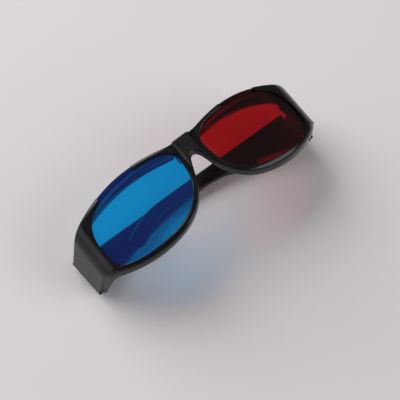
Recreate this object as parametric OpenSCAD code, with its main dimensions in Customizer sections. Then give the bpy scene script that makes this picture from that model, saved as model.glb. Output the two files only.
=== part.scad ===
// Wrap-round red and cyan glasses, folded and lying on their temples.
// X runs across the face (+X is the wearer's left), +Y is the brow side, Z is up, away from the table.
// The front is drawn level, with its bridge at the origin, and then laid on the folded temples.

/* [Front] */
// Width across the hinge ends
frame_w = 149; // [146:1:156]
// Depth from the bridge to the hinge axes
frame_d = 46; // [44:1:49]
// Radius of the front, seen from the brow
front_r = 150; // [145:5:165]
// Radius of the bend from the front into the end pieces
corner_r = 14; // [12:1:16]
// Turn of the end pieces away from the front, in degrees
side_turn = 82; // [80:1:84]
// Lean of the front, brow forwards, against the hinge axes, in degrees
tilt = 7.5; // [5:0.5:9]
// Height of the brow above the eye line
brow_y = 23; // [21.5:0.5:26]
// Depth of the rims below the eye line
base_y = 21; // [20:0.5:24]
// Distance of the eye from the middle
eye_x = 38; // [36:1:40]
// Top of the end pieces above the eye line
end_top = 14; // [12.5:0.5:15]
// Bottom of the end pieces below the eye line
end_bottom = 8.5; // [7.5:0.5:10]
// Distance from the hinge end at which the cheek's curve runs out into the end piece
cheek_in = 3.5; // [2:0.5:5.5]
// Thickness of the front plate, with the film groove inside it
plate_t = 2.8; // [2.4:0.1:3.4]
// Thickness of the brow, cheek and nose walls
wall_t = 1.8; // [1.4:0.1:2.2]
// Depth of the cheek wall behind the front, under the eye
wall_d = 7; // [6:0.5:10]
// Depth of the brow wall behind the front, over the eye
brow_d = 18.5; // [15:0.5:20]

/* [Bridge and nose] */
// Height of the bridge above the eye line
bridge_y = 18; // [16.5:0.5:20]
// Width of the raised bridge block
bridge_w = 11.4; // [9:0.2:12.6]
// Height of the bridge block over the front and the brow
bridge_up = 0.9; // [0.4:0.1:1.6]
// Top of the nose arch above the eye line
arch_y = 8; // [5:0.5:9]
// Fullness of the top of the nose arch
arch_w = 8; // [7:0.5:9]
// Depth of the front at the top of the nose arch
arch_d = 3.1; // [3:0.1:5]
// Length down the nose over which its wall grows to full depth
nose_run = 14; // [10:1:18]
// Reach of the rim's lower edge towards the nose
cheek_run = 36; // [30:1:37]

/* [Lens films] */
// Inner edge of a lens window
lens_in = 7.5; // [7:0.1:9]
// Width of the end piece's face beyond a lens window
end_face = 9.5; // [8.5:0.5:12.5]
// Height of a window's innermost point
lens_in_y = 9; // [6:0.5:11]
// Height of a window's outermost point
lens_out_y = -2; // [-4:0.5:0]
// Width of the rim round a lens window at the brow and the cheek
rim_w = 3; // [2.6:0.1:4]
// Thickness of the lens film
film_t = 0.4; // [0.3:0.05:0.6]
// Thickness of the lip in front of the film
lip_t = 1; // [0.8:0.1:1.2]
// Reach of the film past the window
film_lap = 1.4; // [1:0.1:1.6]
// Clearance round the film in its groove
film_gap = 0.06; // [0.04:0.01:0.1]
// Inner end of the gap in the brow lip, which the film's tab fills
notch_in = 29; // [24:1:32]
// Outer end of the gap in the brow lip, which the film's tab fills
notch_out = 52; // [48:1:56]
// Distance of the tab from the brow's edge
tab_in = 0.4; // [0.1:0.1:0.8]

/* [Temples] */
// Length from the hinge axis to the tip
temple_len = 114; // [100:1:117]
// Length of the tall root, where the temple narrows
root_len = 50; // [40:1:60]
// Length of the dropped ear end
drop_len = 30; // [26:1:36]
// Fall of the tip below the eye line
drop_y = 1; // [0:0.5:4]
// Turn of the ear end below the arm, in degrees
ear_turn = 22; // [16:1:30]
// Height of the arm between the root and the ear end
waist_h = 7; // [6:0.5:9]
// Radius of the round tip
tip_r = 4.6; // [3:0.1:5]
// Thickness at the hinge
temple_t = 3.2; // [2.8:0.1:3.8]
// Thickness at the tip
tip_t = 2.2; // [1.8:0.1:2.6]
// Gap between the folded temples
fold_gap = 0.5; // [0.3:0.1:1]

/* [Hinges] */
// Distance from the hinge axis to the outside of the temple
hinge_out = 4.2; // [4:0.1:4.8]
// Radius of the knuckle and the ears
knuckle_r = 2.4; // [2.1:0.1:2.6]
// Height of the temple's knuckle
knuckle_h = 6; // [5:0.5:8]
// Height of each ear
ear_h = 3.5; // [2.5:0.5:4]
// Length of the webs that carry the ears and the knuckle
web_len = 7; // [5:0.5:9]
// Diameter of the hinge pin
pin_d = 1.5; // [1.2:0.1:1.8]
// Diameter of the pin's head
pin_head_d = 2.6; // [2.2:0.1:3]
// Height of the pin's head
pin_head_h = 0.6; // [0.4:0.1:1]
// Radial clearance of the pin in its bores
pin_gap = 0.04; // [0.02:0.01:0.06]
// Running gap between hinge pieces
hinge_gap = 0.25; // [0.15:0.05:0.4]

/* [Hidden] */
$fn = 48;
front_steps = 40;
corner_steps = 10;
edge_steps = 14;
curve_steps = 12;
black = "#29252d";
cyan = "#0a7fb8";
red = "#a81c2a";
steel = "#b9bcc0";

// Reach past a cut face, so that no two faces coincide
over = 1;
half_w = frame_w / 2;
axis_x = half_w - hinge_out;
cheek_end = half_w - cheek_in;
lens_out = half_w - end_face;
// Height of one folded temple over the other, and the lean that it gives the front
fold_step = temple_t + fold_gap;
lean = asin(fold_step / (2 * axis_x));
hinge_y = (end_top - end_bottom) / 2;
ear_y = knuckle_h / 2 + hinge_gap;
stack_h = 2 * (ear_y + ear_h);
pin_top = stack_h / 2 + pin_gap + pin_head_h;
groove_t = film_t + 2 * film_gap;
tall = 2 * max(brow_y, base_y) + 10;
// Height of the brow over the bridge's front, from the front's lean
brow_rise = (brow_y - bridge_y) * tan(tilt);

// Plan curve of the front: an arc, a tighter corner and a straight run to the hinge
function side_run(t) = (frame_d - front_r * (1 - cos(t)) - corner_r * (cos(t) - cos(side_turn))) / sin(side_turn);
function side_reach(t) = (front_r - corner_r) * sin(t) + corner_r * sin(side_turn) + side_run(t) * cos(side_turn);
// Halves the interval until the arc ends where the straight run meets the hinge end
function arc_end(low, high, left) =
    left == 0 ? (low + high) / 2
    : side_reach((low + high) / 2) > half_w ? arc_end(low, (low + high) / 2, left - 1)
    : arc_end((low + high) / 2, high, left - 1);
front_turn = arc_end(5, 40, 30);
corner_x = (front_r - corner_r) * sin(front_turn);
corner_z = (front_r - corner_r) * cos(front_turn) - front_r;

// Half of the plan curve, as far inside the outer face as "inside", from the middle to past the hinge end
function half_plan(inside) = concat(
    [for (i = [0 : front_steps / 2])
        let (a = front_turn * i / (front_steps / 2))
        [(front_r - inside) * sin(a), (front_r - inside) * cos(a) - front_r]],
    [for (i = [1 : corner_steps])
        let (a = front_turn + (side_turn - front_turn) * i / corner_steps)
        [corner_x + (corner_r - inside) * sin(a), corner_z + (corner_r - inside) * cos(a)]],
    [let (run = side_run(front_turn) + 2 * plate_t)
        [corner_x + (corner_r - inside) * sin(side_turn) + run * cos(side_turn),
         corner_z + (corner_r - inside) * cos(side_turn) - run * sin(side_turn)]]);
function reversed(list) = [for (i = [len(list) - 1 : -1 : 0]) list[i]];
function mirrored(list) = [for (p = list) [-p[0], p[1]]];
function tail(list) = [for (i = [1 : len(list) - 1]) list[i]];
function dropped(list, depth) = [for (p = list) [p[0], p[1] - depth]];
function full_plan(inside) = concat(reversed(mirrored(tail(half_plan(inside)))), half_plan(inside));

// Point on a cubic curve through its first and last points, and the points along such a curve
function cubic(p, t) = (1 - t) ^ 3 * p[0] + 3 * (1 - t) ^ 2 * t * p[1] + 3 * (1 - t) * t ^ 2 * p[2] + t ^ 3 * p[3];
function curve(p, steps) = [for (i = [1 : steps]) cubic(p, i / steps)];

// Back edge of a wall in plan: "depth" behind the front's arc, less in the middle, then a bend to the hinge axis
mid_share = 0.75;
back_bend = 5;
function back_share(x) = mid_share + (1 - mid_share) * min(x / eye_x, 1);
function half_back(depth) =
    let (arc = [for (i = [0 : front_steps / 2]) half_plan(0)[i]], last = arc[front_steps / 2] - [0, depth],
         end = [axis_x, -frame_d - over])
    concat([for (p = arc) p - [0, depth * back_share(p[0])]],
           curve([last, last + back_bend * [cos(front_turn), -sin(front_turn)],
                  [end[0], (last[1] + end[1]) / 2], end], corner_steps));
function full_back(depth) = concat(reversed(mirrored(tail(half_back(depth)))), half_back(depth));

// Brow and lower edge of the front, as heights over the distance from the middle
brow_power = 0.8;
base_power = 0.7;
function brow_in(x) = bridge_y + (brow_y - bridge_y) * sin(90 * (x - bridge_w / 2) / (eye_x - bridge_w / 2));
function brow_out(x) = end_top + (brow_y - end_top) * cos(90 * (x - eye_x) / (half_w - eye_x)) ^ brow_power;
function base_out(x) = -end_bottom - (base_y - end_bottom) * cos(90 * (x - eye_x) / (cheek_end - eye_x)) ^ base_power;

// Half of the front's outline, seen from the front, from the bridge round to the top of the nose arch
function half_outline(bump) = concat(
    [[0, bridge_y + bump], [bridge_w / 2 - bridge_up, bridge_y + bump]],
    [for (i = [0 : edge_steps - 1])
        let (x = bridge_w / 2 + (eye_x - bridge_w / 2) * i / edge_steps) [x, brow_in(x)]],
    [for (i = [0 : edge_steps]) let (x = eye_x + (half_w - eye_x) * i / edge_steps) [x, brow_out(x)]],
    [[half_w + over, end_top], [half_w + over, -end_bottom]],
    [for (i = [edge_steps : -1 : 0]) let (x = eye_x + (cheek_end - eye_x) * i / edge_steps) [x, base_out(x)]],
    curve([[eye_x, -base_y], [eye_x - cheek_run, -base_y], [arch_w, arch_y], [0, arch_y]], 2 * curve_steps));
function inner_points(list) = [for (i = [1 : len(list) - 2]) list[i]];
function outline(bump) = concat(half_outline(bump), reversed(mirrored(inner_points(half_outline(bump)))));

// A clockwise loop moved inwards along its normals
function moved_in(loop, depth) = [for (i = [0 : len(loop) - 1])
    let (n = len(loop), d = loop[(i + 1) % n] - loop[(i + n - 1) % n])
    loop[i] + depth * [d[1], -d[0]] / norm(d)];

// Lens window of the wearer's left eye: four curves between its top, outer, bottom and inner points
window_top = [eye_x, brow_y - rim_w];
window_out = [lens_out, lens_out_y];
window_low = [eye_x, rim_w - base_y];
window_in = [lens_in, lens_in_y];
// Share of the way to the corner that each curve's handle reaches
across = 0.8;
upright = 0.72;
nose_across = 0.744;
nose_upright = 0.482;
outward = (lens_out - eye_x) * across;
inward = (eye_x - lens_in) * nose_across;
window = concat(
    curve([window_top, window_top + [outward, 0],
           window_out + [0, (window_top[1] - window_out[1]) * upright], window_out], curve_steps),
    curve([window_out, window_out - [0, (window_out[1] - window_low[1]) * upright],
           window_low + [outward, 0], window_low], curve_steps),
    curve([window_low, window_low - [inward, 0],
           window_in - [0, (window_in[1] - window_low[1]) * nose_upright], window_in], curve_steps),
    curve([window_in, window_in + [0, (window_top[1] - window_in[1]) * upright],
           window_top - [inward, 0], window_top], curve_steps));

// Lays the level front on the folded temples, with the lower temple's outside on the table
module laid() {
    translate([-frame_d * sin(lean), (base_y - brow_y) / 2, hinge_out + axis_x * sin(lean) + frame_d * cos(lean)])
        rotate([0, -lean, 0]) children();
}

module both_sides() {
    children();
    mirror([1, 0, 0]) children();
}

// Leans the front forwards about the top of the bridge
module leaned() {
    translate([0, bridge_y, 0]) rotate([tilt, 0, 0]) translate([0, -bridge_y, 0]) children();
}

// Solid between two plan curves, leaned with the front, from a height up to past the brow
module plan_solid(outer, inner, low = -tall) {
    leaned() translate([0, tall, 0]) rotate([90, 0, 0]) linear_extrude(tall - low)
        polygon(concat(outer, reversed(inner)));
}

// Solid of a front-view loop, from behind the hinges to before the bridge
module view_solid(loop) {
    translate([0, 0, -frame_d - over]) linear_extrude(frame_d + 2 * over + bridge_up + brow_rise) polygon(loop);
}

// Upright cylinder on the hinge axis of the wearer's left side, between two heights
module on_axis(radius, low, high) {
    translate([axis_x, hinge_y + low, -frame_d]) rotate([-90, 0, 0]) cylinder(r = radius, h = high - low);
}

// Block of the front before it is hollowed: the bent body and the bridge, inside the outline
module front_block() {
    intersection() {
        union() {
            plan_solid(full_plan(0), full_back(wall_d));
            plan_solid(full_plan(plate_t / 2), full_back(brow_d), end_top / 2);
            leaned() translate([-bridge_w / 2, -tall, -wall_d / 2]) cube([bridge_w, 2 * tall, wall_d / 2 + bridge_up]);
        }
        view_solid(outline(bridge_up));
    }
}

// Hollow behind the front plate, inside the walls, on both sides of the bridge
module front_hollow() {
    difference() {
        intersection() {
            plan_solid(full_plan(plate_t), dropped(full_plan(plate_t), frame_d));
            view_solid(moved_in(outline(0), wall_t));
        }
        translate([-bridge_w / 2, -tall, -2 * frame_d]) cube([bridge_w, 2 * tall, 3 * frame_d]);
    }
}

// Hollow behind the bridge
module bridge_hollow() {
    low = arch_y + wall_t;
    leaned() translate([wall_t - bridge_w / 2, low, -frame_d])
        cube([bridge_w - 2 * wall_t, bridge_y - wall_t - low, frame_d - plate_t]);
}

// Slope that cuts the nose walls back towards the top of the arch
module nose_slope() {
    top = arch_y + wall_t + over;
    low = arch_y - nose_run;
    leaned() translate([-bridge_w, 0, 0]) rotate([90, 0, 90]) linear_extrude(2 * bridge_w)
        polygon([[arch_y, -arch_d], [top, -arch_d], [top, -frame_d], [low, -frame_d], [low, -wall_d]]);
}

// Middle of the end piece's wall outside the hinge axis, at a height over it
function leaned_height(height) = frame_d + (height - frame_d) * cos(tilt) + (bridge_y - hinge_y) * sin(tilt);
function wall_mid(height) =
    hinge_out - plate_t / (2 * sin(side_turn)) - leaned_height(height) / tan(side_turn);

// Ears of one hinge with their webs on the end piece
module ears() {
    for (low = [ear_y, -ear_y - ear_h]) {
        on_axis(knuckle_r, low, low + ear_h);
        translate([axis_x, hinge_y + low + ear_h, -frame_d]) rotate([90, 0, 0]) linear_extrude(ear_h)
            polygon([[-knuckle_r, 0], [-knuckle_r, knuckle_r / 2], [wall_mid(web_len), web_len], [wall_mid(0), 0]]);
    }
}

module front_frame() {
    color(black) laid() difference() {
        union() {
            difference() {
                front_block();
                front_hollow();
                bridge_hollow();
                nose_slope();
                translate([-frame_w, -tall, -2 * frame_d]) cube([2 * frame_w, 2 * tall, frame_d]);
            }
            both_sides() ears();
        }
        both_sides() {
            view_solid(window);
            film_space(groove_t, lip_t, film_lap + film_gap);
            brow_notch();
            on_axis(knuckle_r + hinge_gap, -ear_y, ear_y);
            on_axis(pin_d / 2 + pin_gap, -stack_h / 2 - over, stack_h / 2 + over);
            on_axis(pin_head_d / 2 + hinge_gap, (stack_h + pin_gap) / 2, pin_top + hinge_gap);
        }
    }
}

// Curved sheet over the window of the wearer's left eye, past its edge by "lap"
module film_space(thickness, inside, lap) {
    intersection() {
        plan_solid(full_plan(inside), full_plan(inside + thickness));
        view_solid(moved_in(window, -lap));
    }
}

// Upright block over the eye between the two ends of the gap in the brow lip, drawn in by "inset"
module over_eye(inset) {
    translate([notch_in + inset, window_out[1], -frame_d])
        cube([notch_out - notch_in - 2 * inset, tall, 2 * frame_d]);
}

// Gap in the front lip that bares the film's tab
module brow_notch() {
    intersection() {
        plan_solid(dropped(full_plan(0), -over), full_plan(lip_t + groove_t + film_gap / 2));
        over_eye(0);
    }
}

// Film of the wearer's left eye, with the tab that reaches up to the brow
module lens_film() {
    inside = lip_t + film_gap;
    film_space(film_t, inside, film_lap);
    intersection() {
        plan_solid(full_plan(inside), full_plan(inside + film_t));
        view_solid(moved_in(outline(0), tab_in));
        over_eye(film_gap);
    }
}

module right_lens() {
    color(cyan, 0.6) laid() mirror([1, 0, 0]) lens_film();
}

module left_lens() {
    color(red, 0.6) laid() lens_film();
}

// Side view of a temple: along it from the hinge axis, and up
drop_x = temple_len - drop_len;
arm_low = end_top - waist_h;
ear_along = [cos(ear_turn), -sin(ear_turn)];
ear_up = [sin(ear_turn), cos(ear_turn)];
tip_mid = [temple_len - tip_r, tip_r - drop_y];
tip_top = tip_mid + tip_r * ear_up;
tip_low = tip_mid - tip_r * ear_up;
temple_side = concat(
    [[hinge_gap, end_top], [drop_x, end_top]],
    curve([[drop_x, end_top], [drop_x + drop_len / 2, end_top],
           tip_top - drop_len / 3 * ear_along, tip_top], curve_steps),
    [for (i = [1 : curve_steps]) let (a = 90 - ear_turn - 180 * i / curve_steps)
        tip_mid + tip_r * [cos(a), sin(a)]],
    curve([tip_low, tip_low - drop_len / 3 * ear_along,
           [drop_x + drop_len / 3, arm_low], [drop_x, arm_low]], curve_steps),
    curve([[drop_x, arm_low], [root_len, arm_low],
           [root_len / 3, (arm_low - end_bottom) / 2], [hinge_gap, -end_bottom]], curve_steps));

// One temple from its hinge axis, lying along +X with its outside down
module temple() {
    difference() {
        union() {
            intersection() {
                linear_extrude(temple_t) polygon(temple_side);
                rotate([90, 0, 0]) linear_extrude(2 * tall, center = true) polygon([
                    [0, 0], [temple_len + over, 0], [temple_len + over, tip_t], [root_len / 2, temple_t], [0, temple_t]]);
            }
            knuckle();
        }
        for (low = [knuckle_h / 2, -pin_top - hinge_gap])
            translate([0, hinge_y + low, hinge_out]) rotate([-90, 0, 0])
                cylinder(r = knuckle_r + hinge_gap, h = pin_top + hinge_gap - knuckle_h / 2);
        translate([0, hinge_y - stack_h, hinge_out]) rotate([-90, 0, 0])
            cylinder(r = pin_d / 2 + pin_gap, h = 2 * stack_h);
    }
}

// Knuckle of a temple with its web, which leaves the knuckle at "web_turn" above the temple
module knuckle() {
    web_turn = 30;
    translate([0, hinge_y - knuckle_h / 2, hinge_out]) rotate([-90, 0, 0])
        cylinder(r = knuckle_r, h = knuckle_h);
    translate([0, hinge_y + knuckle_h / 2, 0]) rotate([90, 0, 0]) linear_extrude(knuckle_h)
        polygon([[hinge_gap, temple_t / 2], [web_len, temple_t / 2], [web_len, temple_t],
                 [knuckle_r * cos(web_turn), hinge_out + knuckle_r * sin(web_turn)], [hinge_gap, hinge_out]]);
}

module right_temple() {
    color(black) translate([-axis_x * cos(lean), (base_y - brow_y) / 2, 0]) temple();
}

module left_temple() {
    color(black) translate([axis_x * cos(lean), (base_y - brow_y) / 2, fold_step]) mirror([1, 0, 0]) temple();
}

// Headed pin through the ears and the knuckle of the wearer's left hinge
module hinge_pin() {
    on_axis(pin_d / 2, -stack_h / 2, pin_top - pin_head_h / 2);
    on_axis(pin_head_d / 2, stack_h / 2 + pin_gap, pin_top);
}

module right_hinge_pin() {
    color(steel) laid() mirror([1, 0, 0]) hinge_pin();
}

module left_hinge_pin() {
    color(steel) laid() hinge_pin();
}

front_frame();
right_lens();
left_lens();
right_temple();
left_temple();
right_hinge_pin();
left_hinge_pin();
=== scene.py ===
import math

import bmesh
import bpy
import numpy as np
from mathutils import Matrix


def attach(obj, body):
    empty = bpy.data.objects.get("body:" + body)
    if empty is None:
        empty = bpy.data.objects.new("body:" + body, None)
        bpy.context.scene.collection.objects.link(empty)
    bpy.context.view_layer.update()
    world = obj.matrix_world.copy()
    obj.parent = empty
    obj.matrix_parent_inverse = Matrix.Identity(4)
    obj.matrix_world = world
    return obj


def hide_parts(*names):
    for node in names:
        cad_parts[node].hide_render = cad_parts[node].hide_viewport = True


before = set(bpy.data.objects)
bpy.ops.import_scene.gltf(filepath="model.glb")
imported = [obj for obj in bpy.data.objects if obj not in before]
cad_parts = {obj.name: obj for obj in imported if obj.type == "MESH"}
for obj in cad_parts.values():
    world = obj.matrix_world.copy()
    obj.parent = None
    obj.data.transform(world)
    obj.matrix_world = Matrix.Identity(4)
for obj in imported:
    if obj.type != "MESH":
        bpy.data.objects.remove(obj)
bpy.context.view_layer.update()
print("frame loaded:", len(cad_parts), "nodes")

mm = 0.001
tiny = 1e-6

# Sizes of the moulded front in millimetres and degrees; its large forms are sized as in the solids.
# x runs across the face, y up to the brow, z forward, with the bridge's face at the origin.
front = {
    # plan and lean
    "halfWidth": 74.5, "depth": 46.0, "radius": 150.0, "cornerRadius": 14.0, "sideTurn": 82.0, "tilt": 7.5,
    # outline from the front; the powers say how full the outer curves of brow and cheek are
    "browY": 23.0, "baseY": 21.0, "eyeX": 38.0, "endTop": 14.0, "endBottom": 8.5, "cheekEnd": 71.0,
    "browPower": 0.8, "cheekPower": 0.7, "cheekRun": 36.0, "archY": 8.0, "archWidth": 8.0,
    # plate and walls
    "plate": 2.8, "wall": 1.8, "wallDepth": 7.0, "browDepth": 18.5, "midShare": 0.75, "backBend": 5.0,
    "backOver": 1.0, "archDepth": 3.1, "noseRun": 14.0,
    # bridge block, the grooves beside it and the ribs behind it
    "bridgeY": 18.0, "bridgeWidth": 11.4, "bridgeUp": 0.9, "bridgeEase": 0.35, "bridgeFoot": 0.05,
    "blockSlope": 1.4, "grooveDepth": 0.6, "grooveRun": 2.4, "flatEnd": 14.0,
    "ribDepth": 11.0, "ribOver": 1.0, "ribPoints": 60,
    # lens window: its extreme points, and how much of the way its curves run level and upright there
    "lensIn": 7.5, "lensOut": 65.0, "lensInY": 9.0, "lensOutY": -2.0, "rim": 3.0,
    "across": 0.8, "upright": 0.72, "noseAcross": 0.744, "noseUpright": 0.482,
    # seat of the film: lip, groove, and the notch where its tab comes up to the brow
    "lip": 1.0, "groove": 0.52, "lap": 1.46, "notchIn": 29.0, "notchOut": 52.0,
    # rounded edges and the crown of the face
    "edge": 0.9, "cheekEdge": 2.2, "endEdge": 0.3, "backEdge": 0.5, "lipEdge": 0.35, "rearEdge": 0.3,
    "fillet": 0.6, "crown": 0.12,
}

# Hinges: each arc is a barrel's bare side in degrees, each middle the point where its end faces close
hinge = {
    "out": 4.2, "radius": 2.4, "height": 6.0, "earHeight": 3.5, "web": 7.0, "gap": 0.25, "edge": 0.3,
    "earArc": (150.0, 330.0), "earMiddle": (-0.2, 0.8), "planeGap": 0.01,
    "knuckleArc": (30.0, 260.0), "knuckleMiddle": (1.2, -0.8), "arcPoints": 28, "loopPoints": 120,
}

# Temples, drawn from the hinge axis along x
temple = {
    "length": 114.0, "root": 50.0, "drop": 30.0, "dropY": 1.0, "earTurn": 22.0, "waist": 7.0, "tip": 4.6,
    "thick": 3.2, "tipThick": 2.2, "thinOver": 1.0, "foldGap": 0.5, "edge": 0.75, "spineIn": 3.0,
    "edgePoints": 120, "tipPoints": 26, "rootPoints": 24, "faceShares": (0.0, 0.25, 0.5, 0.75, 0.92, 1.0),
    "edgeSteps": 4,
}

# The front leans to one side where it lies on the two folded temples
axisX = front["halfWidth"] - hinge["out"]
hingeY = (front["endTop"] - front["endBottom"]) / 2
foldStep = temple["thick"] + temple["foldGap"]
lean = math.asin(foldStep / (2 * axisX))
laidShift = np.array([-front["depth"] * math.sin(lean), (front["baseY"] - front["browY"]) / 2,
                      hinge["out"] + axisX * math.sin(lean) + front["depth"] * math.cos(lean)])


# Turns level points by the lean, about y
def turned(points):
    turn = np.array([[math.cos(lean), 0, -math.sin(lean)], [0, 1, 0], [math.sin(lean), 0, math.cos(lean)]])
    return points @ turn.T


# Turns level points by the lean and lifts them onto the folded temples
def laid(points):
    return turned(points) + laidShift


# Links a new object into the scene, with these three axes and this place if they are given
def addObject(name, data, axes=None, place=None):
    thing = bpy.data.objects.new(name, data)
    bpy.context.scene.collection.objects.link(thing)
    if axes is not None:
        matrix = np.eye(4)
        matrix[:3, :3] = axes
        matrix[3, :3] = place
        thing.matrix_world = matrix.tolist()
    return thing


# Camera: a long lens over the chin side, fitted to matching points of both halves and to the outline.
# Focal length, frame and the bridge's place are in picture points, distance and sensor in millimetres.
shot = {"azimuth": -44.62, "elevation": 62.1, "roll": 5.19, "focal": 1397.0, "distance": 702.5,
        "bridgeAt": (203.5, 162.1), "frame": 400.0, "sensor": 36.0, "clipStart": 0.01}


# Stands off from the bridge along azimuth and elevation, rolls about that line, then aims past the bridge
# by its offset from the picture's middle over the focal length
def setCamera():
    azimuth, elevation, roll = [math.radians(shot[name]) for name in ("azimuth", "elevation", "roll")]
    back = np.array([math.sin(azimuth) * math.cos(elevation), -math.cos(azimuth) * math.cos(elevation),
                     math.sin(elevation)])
    place = shot["distance"] * back
    right = np.array([math.cos(azimuth), math.sin(azimuth), 0.0])
    up = np.cross(back, right)
    right, up = right * math.cos(roll) + up * math.sin(roll), up * math.cos(roll) - right * math.sin(roll)
    across, down = [(shot["frame"] / 2 - at) / shot["focal"] for at in shot["bridgeAt"]]
    back = back - across * right + down * up
    back /= np.linalg.norm(back)
    right -= back * (right @ back)
    right /= np.linalg.norm(right)
    data = bpy.data.cameras.new("photoCamera")
    data.sensor_width = shot["sensor"]
    data.lens = shot["focal"] * shot["sensor"] / shot["frame"]
    data.clip_start = shot["clipStart"]
    axes = turned(np.array([right, np.cross(back, right), back]))
    bpy.context.scene.camera = addObject("photoCamera", data, axes, laid(place) * mm)


setCamera()
print("camera set")


# Linear colour with full alpha from an sRGB hex text, by the sRGB curve
def linear(hexText):
    value = np.array([int(hexText[start:start + 2], 16) for start in (1, 3, 5)]) / 255
    value = np.where(value <= 0.04045, value / 12.92, ((value + 0.055) / 1.055) ** 2.4)
    return (*value.tolist(), 1.0)


# New material with an empty node tree
def newMaterial(name):
    material = bpy.data.materials.new(name)
    material.use_nodes = True
    material.node_tree.nodes.clear()
    return material, material.node_tree


# Adds a node whose inputs, by name or number, get a value or a link from another node's output
def addNode(tree, kind, inputs):
    node = tree.nodes.new(kind)
    for key, value in inputs.items():
        if isinstance(value, bpy.types.NodeSocket):
            tree.links.new(value, node.inputs[key])
        else:
            node.inputs[key].default_value = value
    return node


# Place of a point in its object, in metres
def objectPlace(tree):
    return addNode(tree, "ShaderNodeTexCoord", {}).outputs["Object"]


# Noise whose cells per metre are one over the grain's size, which is in millimetres
def addNoise(tree, place, grain):
    inputs = {"Vector": place, "Scale": 1 / (grain["size"] * mm), "Detail": grain["detail"],
              "Roughness": grain["rough"]}
    return addNode(tree, "ShaderNodeTexNoise", inputs).outputs["Fac"]


# Maps a value evenly from one range to another
def addRange(tree, value, fromRange, toRange):
    inputs = {"Value": value, "From Min": fromRange[0], "From Max": fromRange[1],
              "To Min": toRange[0], "To Max": toRange[1]}
    return addNode(tree, "ShaderNodeMapRange", inputs).outputs["Result"]


# Normal of a grain's bumps, whose height is in millimetres, over another normal if one is given
def addBump(tree, noise, grain, normal=None):
    inputs = {"Height": noise, "Strength": grain["strength"], "Distance": grain["height"] * mm}
    if normal is not None:
        inputs["Normal"] = normal
    return addNode(tree, "ShaderNodeBump", inputs).outputs["Normal"]


# Mixes two shaders, with this share of the second
def addMix(tree, share, first, second):
    return addNode(tree, "ShaderNodeMixShader", {0: share, 1: first, 2: second}).outputs["Shader"]


# ABS moulded in a polished tool: near black, glossy, faintly mottled, with rubbed patches and a fine ripple
plastic = {
    "colours": ("#0a090b", "#121013"), "colourRange": (0.35, 0.75), "ior": 1.42,
    "shineRange": (0.12, 0.26), "rubRange": (0.4, 0.72),
    "mottle": {"size": 9.0, "detail": 3.0, "rough": 0.5},
    "rub": {"size": 14.0, "detail": 6.0, "rough": 0.65},
    "ripple": {"size": 1.6, "detail": 1.0, "rough": 0.5, "strength": 0.12, "height": 0.05},
    "grit": {"size": 0.35, "detail": 2.0, "rough": 0.5, "strength": 0.08, "height": 0.02},
}


# Mottle sets the colour, rubbed patches the roughness, and grit over ripple the normal
def makePlastic():
    material, tree = newMaterial("mouldedGlossAbs")
    place = objectPlace(tree)
    colour = addNode(tree, "ShaderNodeValToRGB", {"Fac": addNoise(tree, place, plastic["mottle"])})
    for stop, at, shade in zip(colour.color_ramp.elements, plastic["colourRange"], plastic["colours"]):
        stop.position = at
        stop.color = linear(shade)
    rough = addRange(tree, addNoise(tree, place, plastic["rub"]), plastic["rubRange"], plastic["shineRange"])
    normal = None
    for grain in (plastic["ripple"], plastic["grit"]):
        normal = addBump(tree, addNoise(tree, place, grain), grain, normal)
    shader = addNode(tree, "ShaderNodeBsdfPrincipled", {
        "Base Color": colour.outputs["Color"], "Roughness": rough, "IOR": plastic["ior"], "Normal": normal})
    addNode(tree, "ShaderNodeOutputMaterial", {"Surface": shader.outputs["BSDF"]})
    return material


# Dyed polyester film: each face tints what passes, a little dye scatters, and the clear skin reflects
cyanDye = {"name": "dyedCyanFilm", "tint": "#0cd6f7", "scatter": "#4a6af0", "haze": 0.08}
redDye = {"name": "dyedRedFilm", "tint": "#d64655", "scatter": "#8a787c", "haze": 0.014}
filmSkin = {
    "rough": 0.05, "ior": 1.35,
    "wave": {"size": 11.0, "detail": 1.0, "rough": 0.5, "strength": 0.2, "height": 0.3},
}


# A clear tint with a share of scattered dye, under a wavy skin that reflects by the Fresnel share
def makeFilmMaterial(dye):
    material, tree = newMaterial(dye["name"])
    normal = addBump(tree, addNoise(tree, objectPlace(tree), filmSkin["wave"]), filmSkin["wave"])
    clear = addNode(tree, "ShaderNodeBsdfTransparent", {"Color": linear(dye["tint"])})
    scatter = addNode(tree, "ShaderNodeBsdfDiffuse", {"Color": linear(dye["scatter"])})
    body = addMix(tree, dye["haze"], clear.outputs["BSDF"], scatter.outputs["BSDF"])
    shine = addNode(tree, "ShaderNodeBsdfGlossy", {"Roughness": filmSkin["rough"], "Normal": normal})
    glance = addNode(tree, "ShaderNodeFresnel", {"IOR": filmSkin["ior"], "Normal": normal})
    skin = addMix(tree, glance.outputs["Fac"], body, shine.outputs["BSDF"])
    addNode(tree, "ShaderNodeOutputMaterial", {"Surface": skin})
    return material


# Drawn steel wire: bright, with fine lines along the wire, which is y
wire = {
    "colour": "#b9bcc0", "stretch": 0.04, "lineRange": (0.3, 0.7), "shineRange": (0.2, 0.38),
    "lines": {"size": 0.18, "detail": 2.0, "rough": 0.5, "strength": 0.2, "height": 0.02},
}


# Noise drawn out along the wire sets both roughness and bumps
def makeWire():
    material, tree = newMaterial("drawnSteelWire")
    drawn = addNode(tree, "ShaderNodeMapping", {
        "Vector": objectPlace(tree), "Scale": (1.0, wire["stretch"], 1.0)})
    lines = addNoise(tree, drawn.outputs["Vector"], wire["lines"])
    shader = addNode(tree, "ShaderNodeBsdfPrincipled", {
        "Base Color": linear(wire["colour"]), "Metallic": 1.0, "Normal": addBump(tree, lines, wire["lines"]),
        "Roughness": addRange(tree, lines, wire["lineRange"], wire["shineRange"])})
    addNode(tree, "ShaderNodeOutputMaterial", {"Surface": shader.outputs["BSDF"]})
    return material


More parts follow.
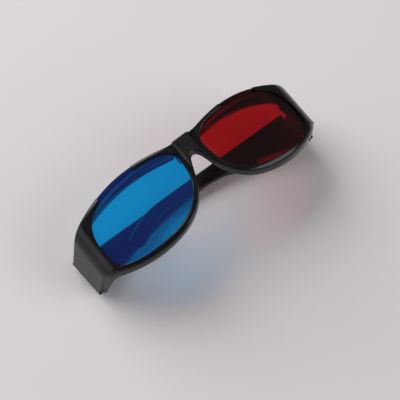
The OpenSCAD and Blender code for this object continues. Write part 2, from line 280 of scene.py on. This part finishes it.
glossAbs = makePlastic()
cyanFilm = makeFilmMaterial(cyanDye)
redFilm = makeFilmMaterial(redDye)
steelWire = makeWire()
print("materials made")

# Samples of the curves that rows are picked from, how near points are welded in millimetres, and the angle
# from which an edge is sharp in degrees
meshing = {"curve": 200, "plan": 2000, "weld": 0.0005, "sharp": 40.0}


# Four-cornered faces of a grid of points, closed round its rows, and round its columns too if asked
def gridFaces(rows, columns, roundColumns=False):
    starts = np.arange(columns if roundColumns else columns - 1)
    row, column = np.meshgrid(np.arange(rows), starts, indexing="ij")
    nextRow, nextColumn = (row + 1) % rows, (column + 1) % columns
    corners = [row * columns + column, nextRow * columns + column,
               nextRow * columns + nextColumn, row * columns + nextColumn]
    return np.stack(corners, -1).reshape(-1, len(corners))


# Puts point and face arrays, in millimetres, into one mesh object, welds doubles, turns faces outwards
def makePiece(name, shells, material, body, node=None):
    starts = np.cumsum([0] + [len(points) for points, faces in shells])
    allPoints = np.concatenate([points for points, faces in shells]) * mm
    allFaces = np.concatenate([faces + start for (points, faces), start in zip(shells, starts)])
    mesh = bpy.data.meshes.new(name)
    mesh.from_pydata(allPoints, [], allFaces)
    work = bmesh.new()
    work.from_mesh(mesh)
    bmesh.ops.remove_doubles(work, verts=work.verts, dist=meshing["weld"] * mm)
    bmesh.ops.dissolve_degenerate(work, edges=work.edges, dist=meshing["weld"] * mm)
    bmesh.ops.recalc_face_normals(work, faces=work.faces)
    work.to_mesh(mesh)
    work.free()
    mesh.polygons.foreach_set("use_smooth", np.ones(len(mesh.polygons), bool))
    mesh.set_sharp_from_angle(angle=math.radians(meshing["sharp"]))
    mesh.materials.append(material)
    piece = addObject(name, mesh)
    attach(piece, body)
    if node:
        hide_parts(node)
    print(name, len(mesh.polygons), "faces")


# The shell of one half of the level front and its mirror image, both laid on the temples
def bothHalves(points, faces):
    return [(laid(points), faces), (laid(points * [-1, 1, 1]), faces[:, ::-1])]


# Points over flat (x, y) ones at these heights
def raised(flat, height):
    return np.concatenate([flat, height[..., None]], -1)


# Smooth step from 1 below low to 0 above high
def fade(value, low, high):
    part = np.clip((value - low) / (high - low), 0, 1)
    return 1 - part * part * (3 - 2 * part)


# Points at these parts of a cubic curve, which starts at the first of four points and ends at the last
def cubic(guides, parts):
    start, leave, arrive, end = np.array(guides, float)
    part = parts[:, None]
    rest = 1 - part
    return rest ** 3 * start + 3 * rest ** 2 * part * leave + 3 * rest * part ** 2 * arrive + part ** 3 * end


# Length of a polyline up to each of its points
def runLengths(line):
    return np.concatenate([[0], np.cumsum(np.linalg.norm(np.diff(line, axis=0), axis=1))])


# Points at these shares of a polyline's length
def alongLine(line, shares):
    length = runLengths(line)
    return np.stack([np.interp(shares * length[-1], length, values) for values in line.T], 1)


# Unit normals to the left of a polyline's direction
def leftNormals(line, closed=False):
    step = np.roll(line, -1, 0) - np.roll(line, 1, 0) if closed else np.gradient(line, axis=0)
    step /= np.maximum(np.linalg.norm(step, axis=1, keepdims=True), tiny)
    return np.stack([-step[:, 1], step[:, 0]], 1)


tilt = math.radians(front["tilt"])
sideTurn = math.radians(front["sideTurn"])
turnSearch = {"least": 5.0, "most": 40.0, "count": 4000}


# Half angle of the wide arc: of many, the one at which arc, corner and straight run reach the half width
def findFrontTurn():
    least, most = math.radians(turnSearch["least"]), math.radians(turnSearch["most"])
    turns = np.linspace(least, most, turnSearch["count"])
    big, small = front["radius"], front["cornerRadius"]
    sideRuns = (front["depth"] - big * (1 - np.cos(turns))
                - small * (np.cos(turns) - math.cos(sideTurn))) / math.sin(sideTurn)
    reaches = (big - small) * np.sin(turns) + small * math.sin(sideTurn) + sideRuns * math.cos(sideTurn)
    return float(np.interp(front["halfWidth"], reaches, turns))


frontTurn = findFrontTurn()
cornerX = (front["radius"] - front["cornerRadius"]) * math.sin(frontTurn)
cornerZ = (front["radius"] - front["cornerRadius"]) * math.cos(frontTurn) - front["radius"]


# Plan of the front, this far inside its outer face, as z over x: wide arc, tighter corner, straight run
def planHeight(x, inside):
    big, small = front["radius"] - inside, front["cornerRadius"] - inside
    arc = np.sqrt(np.maximum(big ** 2 - x ** 2, 0)) - front["radius"]
    bend = cornerZ + np.sqrt(np.maximum(small ** 2 - (x - cornerX) ** 2, 0))
    startX = cornerX + small * math.sin(sideTurn)
    side = cornerZ + small * math.cos(sideTurn) - (x - startX) * math.tan(sideTurn)
    return np.where(x < big * math.sin(frontTurn), arc, np.where(x < startX, bend, side))


# z of a point at (x, y) that has this height before the front leans forwards about the top of the bridge
def leaned(flat, height):
    return (height + math.sin(tilt) * (flat[..., 1] - front["bridgeY"])) / math.cos(tilt)


# x of the end piece's outer face in the hinge plane, where the leaned front reaches it at y
def endX(y):
    short = front["depth"] * (1 - math.cos(tilt)) + math.sin(tilt) * (front["bridgeY"] - y)
    return front["halfWidth"] - short / math.tan(sideTurn)


# Back edge of a wall as z over x: as deep behind the front's arc as "depth", less in the middle, then a
# bend to the hinge axis
def backHeight(x, depth):
    lastX, low = front["radius"] * math.sin(frontTurn), -front["depth"] - front["backOver"]
    arcX = np.linspace(0, lastX, meshing["curve"])
    share = front["midShare"] + (1 - front["midShare"]) * np.minimum(arcX / front["eyeX"], 1)
    arc = np.stack([arcX, planHeight(arcX, 0.0) - depth * share], 1)
    ahead = front["backBend"] * np.array([math.cos(frontTurn), -math.sin(frontTurn)])
    bend = cubic([arc[-1], arc[-1] + ahead, [axisX, (arc[-1, 1] + low) / 2], [axisX, low]],
                 np.linspace(0, 1, meshing["curve"]))
    line = np.concatenate([arc, bend[1:]])
    return np.interp(x, line[:, 0], line[:, 1])


# x values between two limits, evenly spaced along the outer plan's bend
def evenPlan(low, high, count):
    x = np.linspace(low, high, meshing["plan"])
    return alongLine(np.stack([x, planHeight(x, 0.0)], 1), np.linspace(0, 1, count))[:, 0]


# How far the bridge block stands above the brow line at x
def bridgeRise(x):
    half = front["bridgeWidth"] / 2
    return front["bridgeUp"] * fade(x, half - front["bridgeEase"], half + front["bridgeFoot"])


# Rise of the face at x: the block's flat top, its sloped side, and a groove that runs out on the lens rim
def faceRise(x):
    half = front["bridgeWidth"] / 2
    return np.interp(x, [half - front["blockSlope"], half, half + front["grooveRun"]],
                     [front["bridgeUp"], -front["grooveDepth"], 0])


# y of the brow at x: a quarter sine up from the bridge to the eye, then a fuller quarter cosine down
def browLine(x):
    half, eye = front["bridgeWidth"] / 2, front["eyeX"]
    inPart, outPart = (x - half) / (eye - half), (x - eye) / (front["halfWidth"] - eye)
    rising, falling = [np.pi / 2 * np.clip(part, 0, 1) for part in (inPart, outPart)]
    inner = front["bridgeY"] + (front["browY"] - front["bridgeY"]) * np.sin(rising)
    outer = front["endTop"] + (front["browY"] - front["endTop"]) * np.cos(falling) ** front["browPower"]
    return np.where(x < eye, inner, outer) + bridgeRise(x)


# y of the cheek at x: a full quarter cosine from under the eye up to the end piece's lower edge
def baseLine(x):
    part = np.clip((x - front["eyeX"]) / (front["cheekEnd"] - front["eyeX"]), 0, 1)
    fall = (front["baseY"] - front["endBottom"]) * np.cos(np.pi / 2 * part) ** front["cheekPower"]
    return -front["endBottom"] - fall


# Rows of the half front: how many along each stretch, where their spacing changes beside the bridge block
# and the notch, and the samples at which the window's quarters pass from one section to the next
loopRows = {
    "blockTop": 16, "blockSide": 6, "blockFoot": 10, "browIn": 44, "browOut": 60, "end": 26, "cheek": 60,
    "nose": 80, "middle": 22, "topEnd": 0.6, "footStart": 0.3, "footEnd": 9.0, "notchStep": 0.12,
    "notchMargin": 2.0, "middleRun": 1.0,
    "quarter": 400, "browSplit": 249, "endSplit": 159, "noseSplit": 384, "bridgeSplit": 180,
}

# Sections of the loops, in their order round the half front
browInner, browOuter, hingeEnd, cheekSide, noseSide, bridgeMiddle = range(6)


# The lens window as four cubic quarters, level at top and bottom and upright at both ends: from the top to
# the outer end, on to the bottom, on to the inner end and back to the top
def windowQuarters():
    eye, parts = front["eyeX"], np.linspace(0, 1, loopRows["quarter"])
    top = np.array([eye, front["browY"] - front["rim"]])
    low = np.array([eye, front["rim"] - front["baseY"]])
    outer = np.array([front["lensOut"], front["lensOutY"]])
    inner = np.array([front["lensIn"], front["lensInY"]])
    outward = np.array([(front["lensOut"] - eye) * front["across"], 0])
    inward = np.array([(eye - front["lensIn"]) * front["noseAcross"], 0])
    outerUp, outerDown = [[0, (end[1] - outer[1]) * front["upright"]] for end in (top, low)]
    innerUp = [0, (top[1] - inner[1]) * front["upright"]]
    innerDown = [0, (low[1] - inner[1]) * front["noseUpright"]]
    return (cubic([top, top + outward, outer + outerUp, outer], parts),
            cubic([outer, outer + outerDown, low + outward, low], parts),
            cubic([low, low - inward, inner + innerDown, inner], parts),
            cubic([inner, inner + innerUp, top - inward, top], parts))


# These values with one more on each side of a place
def withBoth(values, place):
    step = loopRows["notchStep"]
    return np.unique(np.concatenate([values, [place - step, place + step]]))


# Brow rows inside and outside the eye: close together beside the bridge block and at the notch's ends
def browRows():
    half, eye = front["bridgeWidth"] / 2, front["eyeX"]
    inside = np.concatenate([
        np.linspace(0, half - loopRows["topEnd"], loopRows["blockTop"]),
        half + np.linspace(-front["bridgeEase"], front["bridgeFoot"], loopRows["blockSide"]),
        np.linspace(half + loopRows["footStart"], loopRows["footEnd"], loopRows["blockFoot"]),
        np.linspace(loopRows["footEnd"], eye, loopRows["browIn"])])
    outside = evenPlan(eye, endX(front["endTop"]), loopRows["browOut"])
    bothX = withBoth(inside, front["notchIn"]), withBoth(outside, front["notchOut"])
    return [np.stack([x, browLine(x)], 1) for x in bothX]


# Points of a line at these x values
def atX(line, x):
    return np.stack([x, np.interp(x, line[:, 0], line[:, 1])], 1)


# One half of the front as two loops, the outline and the lens window, cut into six matching sections: brow
# to the eye, brow to the hinge end, hinge end, cheek, cheek to the nose arch, and the middle of the bridge.
# A window row stands at the same share of its stretch's length as its outline row does.
def halfLoops():
    outTop, outLow, inLow, inTop = windowQuarters()
    browSplit, endSplit = loopRows["browSplit"], loopRows["endSplit"]
    noseSplit, bridgeSplit = loopRows["noseSplit"], loopRows["bridgeSplit"]
    paneIn, paneOut = inTop[bridgeSplit:], outTop[:browSplit + 1]
    browIn, browOut = browRows()
    near, far = front["notchIn"] - loopRows["notchMargin"], front["notchOut"] + loopRows["notchMargin"]
    # over the notch a window row has its outline row's x, so that the notch ends are upright
    overIn, overOut = browIn[browIn[:, 0] >= near], browOut[browOut[:, 0] <= far]
    endY = np.linspace(front["endTop"], -front["endBottom"], loopRows["end"])
    cheekX = evenPlan(front["eyeX"], endX(-front["endBottom"]), loopRows["cheek"])[::-1]
    nose = cubic([[front["eyeX"], -front["baseY"]], [front["eyeX"] - front["cheekRun"], -front["baseY"]],
                  [front["archWidth"], front["archY"]], [0, front["archY"]]],
                 np.linspace(0, 1, loopRows["quarter"]))
    low, high = front["archY"] + front["edge"], front["bridgeY"] + front["bridgeUp"] - front["edge"]
    middleY = np.linspace(low, high, loopRows["middle"])
    stretches = [
        (browInner, browIn[browIn[:, 0] < near], paneIn[paneIn[:, 0] < near]),
        (browInner, overIn, atX(paneIn, overIn[:, 0])),
        (browOuter, overOut, atX(paneOut, overOut[:, 0])),
        (browOuter, browOut[browOut[:, 0] > far], paneOut[paneOut[:, 0] > far]),
        (hingeEnd, np.stack([endX(endY), endY], 1),
         np.concatenate([outTop[browSplit:], outLow[1:endSplit + 1]])),
        (cheekSide, np.stack([cheekX, baseLine(cheekX)], 1), outLow[endSplit:]),
        (noseSide, alongLine(nose, np.linspace(0, 1, loopRows["nose"])), inLow[:noseSplit + 1]),
        (bridgeMiddle, np.stack([np.zeros_like(middleY), middleY], 1),
         np.concatenate([inLow[noseSplit:], inTop[1:bridgeSplit + 1]])),
    ]
    outlines, windows, numbers = [], [], []
    for number, line, pane in stretches:
        length = runLengths(line)
        outlines.append(line)
        # rows over the notch match already
        windows.append(pane if len(pane) == len(line) else alongLine(pane, length / length[-1]))
        numbers.append(np.full(len(line), number))
    return np.concatenate(outlines), np.concatenate(windows), np.concatenate(numbers)


outline, window, section = halfLoops()


# Inward directions of the outline: down from the brow, in from the hinge end, up from the cheek and the
# arch. A row where the hinge end meets a wall takes both, so that the inner loop has a square corner, and
# towards the middle of the bridge the directions turn upright.
def outlineNormals():
    wallward, endward = np.zeros_like(outline), np.zeros_like(outline)
    for number in (browInner, browOuter, cheekSide, noseSide):
        rows = section == number
        wallward[rows] = -leftNormals(outline[rows])
    byMiddle = (section == browInner) | (section == noseSide)
    wallward[byMiddle, 0] *= np.clip(outline[byMiddle, 0] / loopRows["middleRun"], 0, 1)
    ends = np.flatnonzero(section == hingeEnd)
    endward[ends] = [-1, 0]
    wallward[ends[0]], wallward[ends[-1]] = [0, -1], [0, 1]
    return wallward, endward


wallward, endward = outlineNormals()
windowOut = leftNormals(window, True)
onBrow, inMiddle = section <= browOuter, section == bridgeMiddle
inNotch = onBrow & (outline[:, 0] > front["notchIn"]) & (outline[:, 0] < front["notchOut"])
print("loops:", len(outline), "rows")


# z of a point of the moulding over (x, y), as deep as "depth" behind its outer face. The first plate
# thickness goes in square to the bend, the rest straight back, and the hinge plane cuts it off.
def mouldHeight(flat, depth):
    x = np.abs(flat[:, 0])
    deep = planHeight(x, np.minimum(depth, front["plate"])) - np.maximum(depth - front["plate"], 0)
    rise = faceRise(x) * np.clip(1 - depth / front["plate"], 0, 1)
    return np.maximum(leaned(flat, deep + rise), -front["depth"])


# One layer of the moulding, this deep behind its outer face
def atDepth(flat, depth):
    return raised(flat, mouldHeight(flat, np.broadcast_to(depth, len(flat))))


# z of a wall's back edge at points of each row: deep at the brow, less at the cheek, and sloping up to the
# nose arch by the distance below it
def wallBack(flat):
    x = np.abs(flat[:, 0])
    cheek = backHeight(x, front["wallDepth"])
    tiltedY = flat[:, 1] + math.sin(tilt) * cheek
    below = np.maximum(front["archY"] - tiltedY, 0) / front["noseRun"]
    slope = -front["archDepth"] - (front["wallDepth"] - front["archDepth"]) * below
    back = np.where(onBrow, backHeight(x, front["browDepth"]),
                    np.where(section == noseSide, np.maximum(cheek, slope), cheek))
    return np.maximum(leaned(flat, back), -front["depth"])


# Layers of the moulding's profile. Shares run along a stretch or round an edge; bend and lipBend place the
# middle point of a rounded edge, as shares of its radius; layerGap keeps layers apart in the notch.
profile = {
    "faceLayers": 49, "edgeShares": (0.38, 0.71, 0.92, 1.0), "bend": 0.29, "lipBend": 0.3,
    "rearShares": (0.04, 0.12, 0.22, 0.34, 0.46, 0.58, 0.7, 0.8, 0.88, 0.95, 1.0),
    "outerShares": (0.35, 0.7), "innerShare": 0.65, "mostLift": 0.4,
    "layerGap": 0.07, "notchFall": 0.15, "middleFall": 0.1,
}
grooveRear = front["lip"] + front["groove"]


# From the groove over the lip: its rear, rim and rounded edge, all at the groove's rear in the notch
def lipLayers():
    lip, ease, bent = front["lip"], front["lipEdge"], profile["lipBend"] * front["lipEdge"]
    layers = []
    for order, (out, depth) in enumerate([(front["lap"], lip), (0, lip), (0, ease), (bent, bent)]):
        outward = np.where(inNotch, profile["layerGap"] * order, out)
        layers.append(atDepth(window + windowOut * outward[:, None], np.where(inNotch, grooveRear, depth)))
    return layers


# Across the face in even shares, with a crown that falls as a half sine to both sides, then a quarter round
# down the outer edge. The cheek's edge is rounder and eases into the nose; the crown runs out at the bridge.
def faceLayers():
    lastEnd = np.arange(len(section)) == np.flatnonzero(section == hingeEnd)[-1]
    easing = np.where(section == noseSide, 1 - fade(outline[:, 0], front["flatEnd"], front["eyeX"]), 0.0)
    rounder = np.where((section == cheekSide) | lastEnd, 1.0, easing)
    edge = front["edge"] + (front["cheekEdge"] - front["edge"]) * rounder
    byBridge = (section == browInner) | (section == noseSide) | inMiddle
    fromBlock = 1 - fade(outline[:, 0], front["bridgeWidth"] / 2, front["flatEnd"])
    crown = front["crown"] * np.where(byBridge, fromBlock, 1.0)
    start = window + windowOut * front["lipEdge"]
    rim = wallward * edge[:, None] + endward * front["endEdge"]
    layers = []
    for share in np.linspace(0, 1, profile["faceLayers"]):
        fall = crown * (1 - math.sin(math.pi * share))
        layers.append(atDepth(start + (outline + rim - start) * share, np.where(inNotch, grooveRear, fall)))
    for share in profile["edgeShares"]:
        depth = edge * (1 - math.sqrt(1 - share ** 2)) + crown
        depth = np.where(inNotch, np.maximum(depth, grooveRear + profile["notchFall"] * share), depth)
        depth = np.where(inMiddle, front["plate"] * profile["middleFall"] * share, depth)
        layers.append(atDepth(outline + rim * (1 - share), depth))
    return layers


# Down the outer wall, round its back edge, up the inner wall and round the fillet onto the plate's rear.
# Each step has an inset, a share of the way back and a lift. The bridge's middle sinks into the plate.
def wallLayers():
    plate, wall, back, fillet = front["plate"], front["wall"], front["backEdge"], front["fillet"]
    backBend, filletBend = profile["bend"] * back, profile["bend"] * fillet
    steps = [(0, share, 0) for share in profile["outerShares"]]
    steps += [(0, 1, back), (backBend, 1, backBend), (back, 1, 0), (wall - back, 1, 0),
              (wall - backBend, 1, backBend), (wall, 1, back), (wall, profile["innerShare"], 0),
              (wall, 0, -fillet), (wall + filletBend, 0, -filletBend), (wall + fillet, 0, 0)]
    endWall = plate / math.sin(sideTurn)
    layers = []
    for order, (inset, share, lift) in enumerate(steps):
        done = (order + 1) / len(steps)
        middleY = np.clip(outline[:, 1], front["archY"] + wall * done, front["bridgeY"] - wall * done)
        middle = np.stack([np.zeros(len(outline)), middleY], 1)
        flat = np.where(inMiddle[:, None], middle, outline + wallward * inset + endward * endWall * done)
        upper = np.maximum(leaned(flat, planHeight(flat[:, 0], plate)), -front["depth"])
        room = np.maximum(upper - wallBack(flat), 0)
        height = upper - room * share + np.clip(lift, -profile["mostLift"] * room, profile["mostLift"] * room)
        sunk = mouldHeight(flat, np.full(len(flat), plate * done))
        layers.append(raised(flat, np.where(inMiddle, sunk, height)))
    return layers


# Along the plate's rear from the wall to the window, then round the rear lip and into the groove
def rearLayers(start):
    plate, ease, gap = front["plate"], front["rearEdge"], profile["layerGap"]
    bent = profile["lipBend"] * ease
    end = window + windowOut * ease
    layers = [atDepth(start + (end - start) * share, plate) for share in profile["rearShares"]]
    inGroove = np.where(inNotch, grooveRear + 2 * gap, grooveRear)
    for out, depth in ((bent, plate - bent), (0, plate - ease), (0, inGroove)):
        layers.append(atDepth(window + windowOut * out, depth))
    seat = window + windowOut * np.where(inNotch, 0, front["lap"])[:, None]
    layers.append(atDepth(seat, np.where(inNotch, grooveRear + gap, grooveRear)))
    return layers


# Clears the knuckle: points of the moulding inside the turning circle move straight out to it
def clearKnuckle(grid):
    side, rise = grid[..., 0] - axisX, grid[..., 2] + front["depth"]
    away = np.hypot(side, rise)
    clear = hinge["radius"] + hinge["gap"]
    beside = np.abs(grid[..., 1] - hingeY) < hinge["height"] / 2 + hinge["gap"]
    near = (away < clear) & beside & (rise > hinge["planeGap"])
    factor = np.where(near, clear / np.maximum(away, tiny), 1)
    return np.stack([axisX + side * factor, grid[..., 1], rise * factor - front["depth"]], -1)


# The moulding: a closed profile carried round the window, over the lip, the face and the walls and back
# along the rear, without the faces where its two halves meet
def frontShells():
    layers = lipLayers() + faceLayers() + wallLayers()
    layers += rearLayers(layers[-1][:, :2])
    grid = clearKnuckle(np.stack(layers, 1))
    points, faces = grid.reshape(-1, 3), gridFaces(grid.shape[0], grid.shape[1], True)
    meeting = np.abs(points[faces][..., 0]).max(1) < tiny
    return bothHalves(points, faces[~meeting]) + ribShells()


# Upright ribs on both sides of the hollow behind the bridge: a rectangle in plan, carried up and leaned
def ribShells():
    inner, outer = front["bridgeWidth"] / 2 - front["wall"], front["bridgeWidth"] / 2
    top, deep = front["ribOver"] - front["plate"], front["ribDepth"]
    corners = np.array([[inner, top], [outer, top], [outer, -deep], [inner, -deep], [inner, top]])
    loop = alongLine(corners, np.linspace(0, 1, front["ribPoints"])[:-1])
    low, high = front["archY"] + front["wall"] + front["ribOver"], front["bridgeY"] - front["wall"] / 2
    points, faces = slab(loop, low, high, front["lipEdge"], loop.mean(0))
    points[:, 2] = leaned(points, points[:, 2])
    return bothHalves(points, faces)


# A closed loop in plan, carried along y with eased rims and closed at its middle
def slab(loop, low, high, ease, middle):
    inward = middle - loop
    inward /= np.linalg.norm(inward, axis=1, keepdims=True)
    bent = profile["bend"] * ease
    steps = [(None, low), (ease, low), (bent, low + bent), (0, low + ease),
             (0, high - ease), (bent, high - bent), (ease, high), (None, high)]
    layers = []
    for inset, y in steps:
        flat = np.broadcast_to(middle, loop.shape) if inset is None else loop + inward * inset
        layers.append(np.stack([flat[:, 0], np.full(len(loop), y), flat[:, 1]], 1))
    return np.stack(layers, 1).reshape(-1, 3), gridFaces(len(loop), len(steps))


# Loop round a hinge barrel and its web: the arc away from the web, then the web's corners
def barrelLoop(arcEnds, corners):
    angles = np.radians(np.linspace(*arcEnds, hinge["arcPoints"]))
    arc = hinge["radius"] * np.stack([np.cos(angles), np.sin(angles)], 1)
    loop = np.concatenate([arc, np.array(corners, float), arc[:1]])
    return alongLine(loop, np.linspace(0, 1, hinge["loopPoints"])[:-1])


# x from the hinge axis to the middle of the end wall, this high above the hinge plane: half a plate inside
# the sloping outer face, at the height before the front leans
def wallMiddle(height):
    level = front["depth"] + (height - front["depth"]) * math.cos(tilt)
    level += (front["bridgeY"] - hingeY) * math.sin(tilt)
    return hinge["out"] - front["plate"] / (2 * math.sin(sideTurn)) - level / math.tan(sideTurn)


# Two ears a side, above and below the knuckle: barrels whose webs run into the end wall
def earShells():
    axis = np.array([axisX, -front["depth"]])
    loop = axis + barrelLoop(hinge["earArc"], [[wallMiddle(high), high] for high in (0, hinge["web"])])
    start = hinge["height"] / 2 + hinge["gap"]
    shells = []
    for low in (hingeY + start, hingeY - start - hinge["earHeight"]):
        points, faces = slab(loop, low, low + hinge["earHeight"], hinge["edge"], axis + hinge["earMiddle"])
        shells += bothHalves(points, faces)
    return shells


makePiece("frontFrame", frontShells(), glossAbs, "front", "front_frame")
makePiece("hingeEars", earShells(), glossAbs, "front")

# Lens films: slightly thinner than the groove and with less lap
film = {"thick": 0.4, "gap": 0.06, "lap": 1.4, "tabIn": 0.4, "middleY": -1.0, "rings": 22}


# A lens film: rings from the middle out to its edge, which runs in the groove and up to the brow in the
# notch. Both faces follow the bend of the groove, a film thickness apart.
def filmShell(side):
    rim = window + windowOut * film["lap"]
    tab = np.where(inNotch[:, None], outline + wallward * film["tabIn"], rim)
    middle = np.array([front["eyeX"], film["middleY"]])
    rings = np.sin(np.linspace(0, np.pi / 2, film["rings"]))
    flat = np.concatenate([middle + (rim[:, None] - middle) * rings[None, :, None], tab[:, None]], 1)
    depths = front["lip"] + film["gap"], front["lip"] + film["gap"] + film["thick"]
    face, rear = [raised(flat, leaned(flat, planHeight(flat[..., 0], depth))) for depth in depths]
    grid = np.concatenate([face, rear[:, ::-1]], 1)
    return laid(grid.reshape(-1, 3) * [side, 1, 1]), gridFaces(grid.shape[0], grid.shape[1])


makePiece("rightFilm", [filmShell(-1)], cyanFilm, "front", "right_lens")
makePiece("leftFilm", [filmShell(1)], redFilm, "front", "left_lens")


# Side view of a temple as upper and lower edges: the upper one straight, the lower one rising from the tall
# root to the arm, then both falling to the ear end, whose middle and turn are given too
def templeEdges():
    high, dropX = front["endTop"], temple["length"] - temple["drop"]
    low = high - temple["waist"]
    turn, tip = math.radians(temple["earTurn"]), temple["tip"]
    along, up = np.array([math.cos(turn), -math.sin(turn)]), np.array([math.sin(turn), math.cos(turn)])
    middle = np.array([temple["length"] - tip, tip - temple["dropY"]])
    third, gap, root = temple["drop"] / 3, hinge["gap"], temple["root"]
    over, under = middle + tip * up, middle - tip * up
    parts = np.linspace(0, 1, meshing["curve"])
    upper = np.concatenate([
        np.linspace([gap, high], [dropX, high], meshing["curve"]),
        cubic([[dropX, high], [dropX + temple["drop"] / 2, high], over - third * along, over], parts)[1:]])
    rootLow = -front["endBottom"]
    lower = np.concatenate([
        cubic([[gap, rootLow], [root / 3, (low + rootLow) / 2], [root, low], [dropX, low]], parts),
        cubic([[dropX, low], [dropX + third, low], under - third * along, under], parts)[1:]])
    return upper, lower, middle, turn


# Thickness of a temple at x: full as far as half its root, then evenly less to the tip
def templeThick(x):
    return np.interp(x, [temple["root"] / 2, temple["length"] + temple["thinOver"]],
                     [temple["thick"], temple["tipThick"]])


# A temple: the outline, with a spine half-way between its edges, carries a rounded profile from the spine
# over the inner face, round the edge and back along the flat outer face
def templeShell(side):
    upper, lower, middle, turn = templeEdges()
    shares = np.linspace(0, 1, temple["edgePoints"])
    upper, lower = alongLine(upper, shares), alongLine(lower, shares)
    ending = np.linspace(np.pi / 2 - turn, -np.pi / 2 - turn, temple["tipPoints"])[1:-1]
    tip = middle + temple["tip"] * np.stack([np.cos(ending), np.sin(ending)], 1)
    root = np.linspace(lower[0], upper[0], temple["rootPoints"])[1:-1]
    loop = np.concatenate([upper, tip, lower[::-1], root])
    # the spine starts a little way in, so that the root's rows meet in its first point
    spine = (upper + lower) / 2
    spine = atX(spine, np.maximum(spine[:, 0], spine[0, 0] + temple["spineIn"]))
    core = np.concatenate([spine, np.repeat(spine[-1:], len(tip), 0), spine[::-1],
                           np.repeat(spine[:1], len(root), 0)])
    ease, inward = temple["edge"], -leftNormals(loop, True)
    inward[[0, len(loop) - len(root) - 1]] *= math.sqrt(2)  # the root's two corners are square
    thick, coreThick = templeThick(loop[:, 0]), templeThick(core[:, 0])
    # layers of one face from the spine out: flat points, height of the face and fall from it
    half = [(core + (loop + inward * ease - core) * share, coreThick + (thick - coreThick) * share, 0.0)
            for share in temple["faceShares"]]
    half += [(loop + inward * ease * (1 - math.sin(angle)), thick, ease * (1 - math.cos(angle)))
             for angle in np.linspace(0, np.pi / 2, temple["edgeSteps"] + 1)[1:]]
    layers = [raised(flat, face - fall) for flat, face, fall in half]
    layers += [raised(flat, np.full(len(loop), fall)) for flat, face, fall in half[::-1]]
    grid = np.stack(layers, 1)
    return placeTemple(grid.reshape(-1, 3), side), gridFaces(grid.shape[0], grid.shape[1])


# Puts a temple drawn from its hinge axis along x, outside down, where it lies folded
def placeTemple(points, side):
    lift = foldStep if side > 0 else 0.0
    return points * [-side, 1, 1] + [side * axisX * math.cos(lean), laidShift[1], lift]


# A temple's knuckle: a barrel between the ears whose web runs along the inside of the temple's root
def knuckleShell(side):
    axis = np.array([0, hinge["out"]])
    low, high = temple["thick"] / 2 - hinge["out"], temple["thick"] - hinge["out"]
    corners = [[hinge["gap"], low], [hinge["web"], low], [hinge["web"], high]]
    loop = axis + barrelLoop(hinge["knuckleArc"], corners)
    half = hinge["height"] / 2
    points, faces = slab(loop, hingeY - half, hingeY + half, hinge["edge"], axis + hinge["knuckleMiddle"])
    return placeTemple(points, side), faces


for side, word, body in ((-1, "right", "right_temple"), (1, "left", "left_temple")):
    makePiece(word + "Temple", [templeShell(side)], glossAbs, body, body)
    makePiece(word + "Knuckle", [knuckleShell(side)], glossAbs, body)

for name in ("right_hinge_pin", "left_hinge_pin"):
    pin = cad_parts[name]
    pin.data.materials.clear()
    pin.data.materials.append(steelWire)
print("hinges made")

# Stage, in metres: a plain pale table just under the part, a strong lamp on the brow side and dimmer ones
table = {"colour": "#d6d1d3", "rough": 0.7, "size": 6.0, "drop": 0.0002}
lamps = [
    {"name": "windowLamp", "at": (-0.35, 1.35, 1.15), "size": 1.8, "power": 40.0},
    {"name": "sideLamp", "at": (-1.6, 0.6, 0.5), "size": 0.9, "power": 2.4},
    {"name": "fillLamp", "at": (1.1, -1.2, 1.2), "size": 1.6, "power": 17.0},
    {"name": "topLamp", "at": (0.55, 0.25, 1.8), "size": 0.45, "power": 0.2},
]
room = {"colour": (1.0, 0.99, 1.0, 1.0), "level": 0.15}


# A square of the table's size under the origin
def makeTable():
    material, tree = newMaterial("paleTable")
    shader = addNode(tree, "ShaderNodeBsdfPrincipled", {
        "Base Color": linear(table["colour"]), "Roughness": table["rough"]})
    addNode(tree, "ShaderNodeOutputMaterial", {"Surface": shader.outputs["BSDF"]})
    reach = table["size"] / 2
    corners = [(-reach, -reach), (reach, -reach), (reach, reach), (-reach, reach)]
    mesh = bpy.data.meshes.new("tableTop")
    mesh.from_pydata([(x, y, -table["drop"]) for x, y in corners], [], [(0, 1, 2, 3)])
    mesh.materials.append(material)
    top = addObject("tableTop", mesh)


# A square lamp that faces the origin, with one side level
def addLamp(lamp):
    data = bpy.data.lights.new(lamp["name"], "AREA")
    data.size, data.energy = lamp["size"], lamp["power"]
    away = np.array(lamp["at"]) / np.linalg.norm(lamp["at"])
    side = np.cross([0, 0, 1], away)
    side /= np.linalg.norm(side)
    addObject(lamp["name"], data, [side, np.cross(away, side), away], lamp["at"])


# An even, dim sky all round
def setRoom():
    world = bpy.data.worlds.new("softRoom")
    world.use_nodes = True
    tree = world.node_tree
    tree.nodes.clear()
    sky = addNode(tree, "ShaderNodeBackground", {"Color": room["colour"], "Strength": room["level"]})
    addNode(tree, "ShaderNodeOutputWorld", {"Surface": sky.outputs["Background"]})
    bpy.context.scene.world = world
    bpy.context.scene.view_settings.view_transform = "Standard"


makeTable()
for lamp in lamps:
    addLamp(lamp)
setRoom()
print("stage set")
